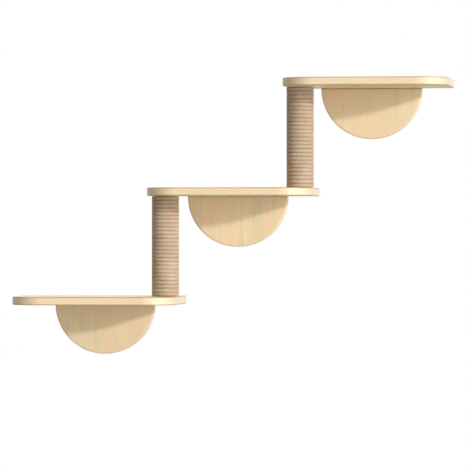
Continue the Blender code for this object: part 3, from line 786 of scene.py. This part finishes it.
rope = {
    "turns": 26, "radius": 0.0044, "pathRadius": 0.02582, "lay": 0.028,
    "strandOut": 0.105, "strandRadius": 0.895,  # shares of the rope's radius
    "squareness": 4.6,  # 2 is round; wound tight, the turns press each other flat
    "stepsPerTurn": 92, "pointsRound": 24,
    "startsAt": 0.035,  # turns past the middle of the wall side
    "levelling": (0.202, 0.0215),  # hold the turns level round the front; they step up on the wall side
    "gap": 0.00002,  # between neighbouring turns
    "endTaper": 0.35, "taperLength": 0.0025,
    "sharpAngle": 75,  # degrees; only the cut ends are sharp
}
tack = {
    "head": 0.0058, "dome": 0.0011, "shank": 0.0012, "length": 0.009, "point": 0.002, "facets": 24,
    "fromEnd": 0.012, "fromFace": 0.28,  # turns from the rope's end, and turns' height from the shelf
    "seat": 0.9,  # share of the rope's radius; the head presses the rest in
}


def strandEdge(angle):
    # How far out three strands laid together reach, as a share of the rope's radius
    swing = (angle + pi / 3) % (2 * pi / 3) - pi / 3
    out, radius = rope["strandOut"], rope["strandRadius"]
    return out * cos(swing) + sqrt(radius ** 2 - (out * sin(swing)) ** 2)


def pressed(angle):
    # How far out the pressed section reaches, as a share of the rope's radius
    power = rope["squareness"]
    return (abs(cos(angle)) ** power + abs(sin(angle)) ** power) ** (-1 / power)


def climb(turn):
    # How high the rope lies after so many turns, in pitches above where the first turn passes the front
    main, second = rope["levelling"]
    return turn + main * sin(2 * pi * turn) + second * sin(4 * pi * turn) - 0.5


def addRope(post):
    node = f"{post}_post_rope"
    low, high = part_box(node)
    tube = middleOf(f"{post}_post_tube")[0]
    turns, radius, pathRadius = rope["turns"], rope["radius"], rope["pathRadius"]
    pitch = (high.z - low.z) / turns
    foot = low.z + pitch / 2
    limit = (pitch - rope["gap"]) / 2
    first, last = rope["startsAt"], turns - rope["startsAt"]
    lengthOfRope = (last - first) * 2 * pi * pathRadius

    # A long grid, rolled into a tube and wound round the post; its UV map runs along and round the rope.
    # At both ends of the post the rope is pressed flatter, between the shelf and its next turn.
    bm = bmesh.new()
    bm.loops.layers.uv.new("ropeUv")
    around = rope["pointsRound"]
    bmesh.ops.create_grid(
        bm, x_segments=round(turns * rope["stepsPerTurn"]), y_segments=around, size=0.5, calc_uvs=True
    )
    for vert in bm.verts:
        along, turned = vert.co.x + 0.5, vert.co.y + 0.5
        turn = first + along * (last - first)
        distance = along * lengthOfRope
        bottom = max(climb(turn) - 0.5, -0.5)
        top = min(climb(turn) + 0.5, turns - 0.5)
        twist = 2 * pi * distance / rope["lay"]
        fromEnd = min(distance, lengthOfRope - distance)
        blunt = 1 - rope["endTaper"] * max(0, 1 - fromEnd / rope["taperLength"]) ** 2
        section = 2 * pi * turned + twist
        reach = radius * strandEdge(2 * pi * turned) * pressed(section) * blunt
        out = min(reach * cos(section), radius)
        up = max(-limit, min(limit, reach * sin(section))) * (top - bottom)
        angle = pi / 2 - 2 * pi * turn
        vert.co = (
            tube.x + (pathRadius + out) * cos(angle),
            tube.y + (pathRadius + out) * sin(angle),
            foot + pitch * (bottom + top) / 2 + up,
        )
    bmesh.ops.remove_doubles(bm, verts=bm.verts, dist=1e-7)
    bmesh.ops.holes_fill(bm, edges=[edge for edge in bm.edges if edge.is_boundary], sides=0)
    material = sisalRope(f"{post}PostSisal", lengthOfRope, 2 * pi * radius, rope["lay"])
    piece = addPiece(pieceName(node), asMesh(node, bm), material, "sisal_rope", node)
    piece.data.set_sharp_from_angle(angle=radians(rope["sharpAngle"]))

    # A tack through each end of the rope, its head to the wall
    ends = (
        ("bottom", first + tack["fromEnd"], low.z + tack["fromFace"] * pitch),
        ("top", last - tack["fromEnd"], high.z - tack["fromFace"] * pitch),
    )
    for end, turn, level in ends:
        angle = pi / 2 - 2 * pi * turn
        outward = Vector((cos(angle), sin(angle), 0))
        seat = Vector((tube.x, tube.y, level)) + outward * (pathRadius + radius * tack["seat"])
        place = Matrix.Translation(seat) @ outward.to_track_quat("Z", "Y").to_matrix().to_4x4()
        addPiece(f"{post}Post{end.capitalize()}RopeTack", tackMesh(place), steel, "zinc_plated_steel")


def tackMesh(place):
    head, shank, length, dome = tack["head"] / 2, tack["shank"] / 2, tack["length"], tack["dome"]
    profile = [(0, -length), (shank, tack["point"] - length), (shank, 0), (head, 0)]
    profile += [(head * cos(step * pi / 12), dome * sin(step * pi / 12)) for step in range(1, 6)]
    profile += [(0, dome)]
    return spun(profile, place, tack["facets"])


def dressHiddenPieces():
    # The tubes, plugs, inserts and dowels are inside the others and keep their own meshes
    finishes = {"tube": paper, "plug": turnedBeech, "insert": steel, "dowel": turnedBeech}
    for name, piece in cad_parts.items():
        finish = finishes.get(name.split("_")[-1])
        if finish:
            piece.data.materials.clear()
            piece.data.materials.append(finish)


for index, step in enumerate(steps):
    addShelf(index, step)
    addWallPlate(index, step)
print("boards and wall plates made")
for step in steps:
    for side in sides:
        addHanger(step, side)
        addCrossNut(step, side)
addBolts()
print("hangers, screws, nuts and bolts made")
for post in posts:
    addRope(post)
print("ropes and tacks made")
dressHiddenPieces()


studio = {
    "floorHeight": -1.2, "floorSize": 3.0,
    "floor": "#c6c5c4", "floorMottle": "#cbcac9", "mottleScale": 30.0, "floorSeen": 0.46,
    "worldLight": 0.20, "worldSeen": 1.0,
    "key": 1.48, "keyFrom": (1.03, -1.0, 0.325), "keyAngle": 3.0,
    "fill": 1.86, "fillFrom": (1.25, -1.0, 0.06), "fillAngle": 40.0,
    "top": 1.0, "topFrom": (0.0, -0.2, 1.0), "topAngle": 90.0,
    "back": 1.5, "backFrom": (0.1, 1.0, 0.5), "backAngle": 40.0,
    "glint": 2.4, "glintFrom": (1.9, -1.0, -0.18), "glintAngle": 36.0,
}


def addFloor():
    material, tree = newMaterial("paleFloor")
    place = addNode(tree, "TexCoord").outputs["Object"]
    mottle = addNode(tree, "TexNoise", {"Vector": place, "Scale": studio["mottleScale"]}).outputs["Fac"]
    colour = addNode(
        tree,
        "Mix",
        {0: mottle, 6: linear(studio["floor"]), 7: linear(studio["floorMottle"])},
        data_type="RGBA",
    ).outputs[2]
    seen = addNode(tree, "LightPath").outputs["Is Camera Ray"]
    lift = addNode(tree, "Math", {0: seen, 1: studio["floorSeen"]}, operation="MULTIPLY").outputs[0]
    shader = addNode(
        tree, "BsdfPrincipled",
        {"Base Color": colour, "Roughness": 0.9, "Emission Color": (1, 1, 1, 1), "Emission Strength": lift},
    )
    addNode(tree, "OutputMaterial", {"Surface": shader.outputs["BSDF"]})
    bm = bmesh.new()
    place = Matrix.Translation((0, 0, studio["floorHeight"]))
    bmesh.ops.create_grid(bm, x_segments=1, y_segments=1, size=studio["floorSize"], matrix=place)
    mesh = asMesh("floor", bm)
    mesh.materials.append(material)
    floor = bpy.data.objects.new("floor", mesh)
    bpy.context.scene.collection.objects.link(floor)


def addSun(name, diffuse=True, glossy=True):
    light = bpy.data.lights.new(name, "SUN")
    light.energy = studio[name]
    light.angle = radians(studio[name + "Angle"])
    lamp = bpy.data.objects.new(name, light)
    lamp.visible_diffuse = diffuse
    lamp.visible_glossy = glossy
    lamp.rotation_euler = Vector(studio[name + "From"]).to_track_quat("Z", "Y").to_euler()
    bpy.context.scene.collection.objects.link(lamp)


def addWorld():
    # Dim light, but white to the camera and in gloss
    world = bpy.data.worlds.new("studio")
    world.use_nodes = True
    tree = world.node_tree
    tree.nodes.clear()
    rays = addNode(tree, "LightPath").outputs
    straight = addNode(
        tree, "Math", {0: rays["Is Camera Ray"], 1: rays["Is Glossy Ray"]}, operation="MAXIMUM"
    ).outputs[0]
    straight = addNode(
        tree, "Math", {0: straight, 1: rays["Is Transmission Ray"]}, operation="MAXIMUM"
    ).outputs[0]
    strength = addNode(
        tree, "MapRange", {"Value": straight, "To Min": studio["worldLight"], "To Max": studio["worldSeen"]}
    ).outputs[0]
    background = addNode(tree, "Background", {"Color": (1, 1, 1, 1), "Strength": strength})
    addNode(tree, "OutputWorld", {"Surface": background.outputs[0]})
    bpy.context.scene.world = world


viewpoint = {
    "lens": 307.04, "sensor": 36, "farthest": 60,
    "place": (1.074, -8.9056, -0.0295),
    "down": 0.132, "left": 6.928,  # degrees
}


def addCamera():
    # The photograph's viewing angle: a long lens, level, a little to the right of the middle
    data = bpy.data.cameras.new("camera")
    data.lens = viewpoint["lens"]
    data.sensor_width = viewpoint["sensor"]
    data.clip_end = viewpoint["farthest"]
    camera = bpy.data.objects.new("camera", data)
    camera.location = viewpoint["place"]
    camera.rotation_euler = (radians(90 - viewpoint["down"]), 0, radians(viewpoint["left"]))
    bpy.context.scene.collection.objects.link(camera)
    bpy.context.scene.camera = camera


addFloor()
# The key and the fill are low, so their gloss would blind whoever looks along the shelves' tops from behind.
# The glint gives the upright faces that gloss from the same side. The top and the back lamps softly light
# what the photograph doesn't show, without gloss.
addSun("key", glossy=False)
addSun("fill", glossy=False)
addSun("glint", diffuse=False)
addSun("top", glossy=False)
addSun("back", glossy=False)
addWorld()
addCamera()
bpy.context.scene.view_settings.view_transform = "Standard"
print("floor, light and camera set")
